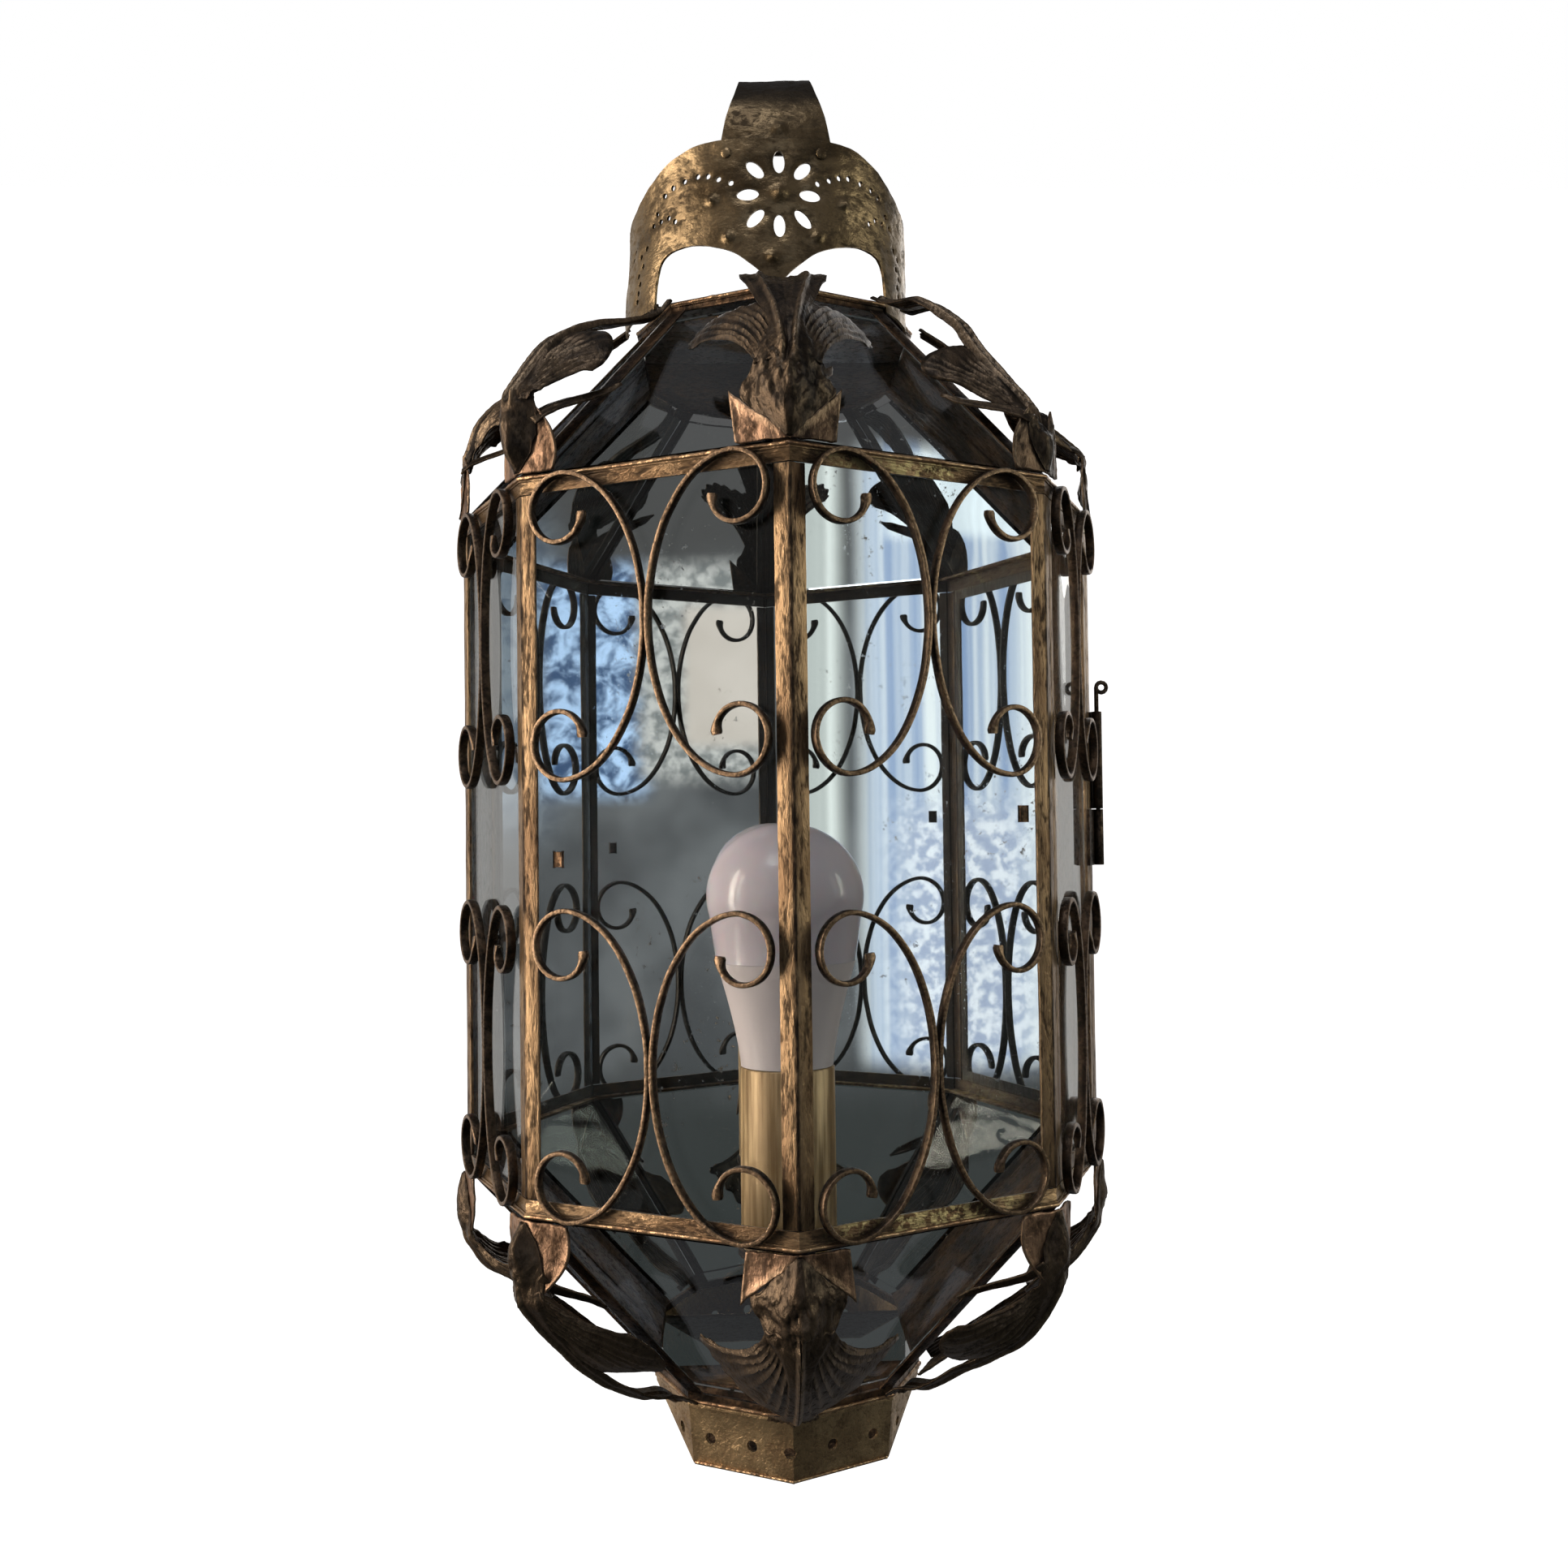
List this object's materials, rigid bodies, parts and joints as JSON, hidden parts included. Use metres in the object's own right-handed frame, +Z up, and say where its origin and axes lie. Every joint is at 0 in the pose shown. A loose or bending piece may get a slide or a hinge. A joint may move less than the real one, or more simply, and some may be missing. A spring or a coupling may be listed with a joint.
{
  "type": "wall sconce",
  "caption": "Half-octagon wall lantern of gilt metal and glass with mirrored back, C scrolls, acanthus leaves, pierced crown, hanging strap, candle-sleeve lamp and a hinged side door.",
  "frame": {"origin": "on the wall behind the back plate, level with the middle of the glass body", "axes": "+Z up, -Y out of the wall to the room, +X to the right seen from the room"},
  "size_m": [0.2654, 0.1758, 0.5606],
  "materials": {
    "gilt": "old gilding over brass sheet, worn to brown",
    "dark_gilt": "dark brown patina on brass",
    "leaf_bronze": "dark brown patina, rubbed bronze on the ridges",
    "iron": "dark bronzed iron strip, edges rubbed lighter",
    "plain_brass": "turned brass",
    "clear_glass": "clear window glass",
    "mirror": "silvered glass",
    "ivory": "aged gilt candle sleeve",
    "dark_plastic": "black lamp holder",
    "white_plastic": "satin white plastic",
    "frosted": "opal white diffuser"
  },
  "bodies": {
    "frame": {"upper_rail": "gilt", "lower_rail": "gilt", "pierced_collar": "gilt", "crown": "gilt", "hanging_strap": "gilt", "post_left_back": "gilt", "post_left_front": "gilt", "post_front": "gilt", "post_right_front": "gilt", "post_right_back": "gilt", "roof_frame": "dark_gilt", "cone_frame": "dark_gilt", "back_plate": "dark_gilt", "side_return_left": "dark_gilt", "side_return_right": "dark_gilt", "lamp_bracket": "dark_gilt", "leaf_upper_left_back": "leaf_bronze", "leaf_lower_left_back": "leaf_bronze", "leaf_upper_left_front": "leaf_bronze", "leaf_lower_left_front": "leaf_bronze", "leaf_upper_front": "leaf_bronze", "leaf_lower_front": "leaf_bronze", "leaf_upper_right_front": "leaf_bronze", "leaf_lower_right_front": "leaf_bronze", "leaf_upper_right_back": "leaf_bronze", "leaf_lower_right_back": "leaf_bronze", "pane_left_side": "clear_glass", "roof_pane_left_side": "clear_glass", "cone_pane_left_side": "clear_glass", "scrolls_upper_left_side": "iron", "scrolls_lower_left_side": "iron", "pane_front_left": "clear_glass", "roof_pane_front_left": "clear_glass", "cone_pane_front_left": "clear_glass", "scrolls_upper_front_left": "iron", "scrolls_lower_front_left": "iron", "pane_front_right": "clear_glass", "roof_pane_front_right": "clear_glass", "cone_pane_front_right": "clear_glass", "scrolls_upper_front_right": "iron", "scrolls_lower_front_right": "iron", "roof_pane_right_side": "clear_glass", "cone_pane_right_side": "clear_glass", "post_hinge_leaf": "iron", "strap_rivet_left": "iron", "strap_rivet_right": "iron", "bracket_rivet": "iron", "mirror": "mirror", "lamp_nipple": "plain_brass", "lamp_nut": "plain_brass", "candle_sleeve": "ivory", "lamp_holder": "dark_plastic", "bulb_base": "white_plastic", "bulb_glass": "frosted"},
    "door": {"door_frame": "gilt", "pane_right_side": "clear_glass", "scrolls_upper_right_side": "iron", "scrolls_lower_right_side": "iron", "door_hinge_leaf": "iron"},
    "pin": {"hinge_pin": "iron"}
  },
  "joints": [
    {"name": "door_swing", "type": "hinge", "parent": "frame", "child": "door", "pos_m": [0.13074, -0.04256, 0], "axis": [0, 0, 1], "range_deg": [0, 110]},
    {"name": "pin_draw", "type": "slide", "parent": "frame", "child": "pin", "axis": [0, 0, 1], "range_m": [0, 0.06]}
  ]
}
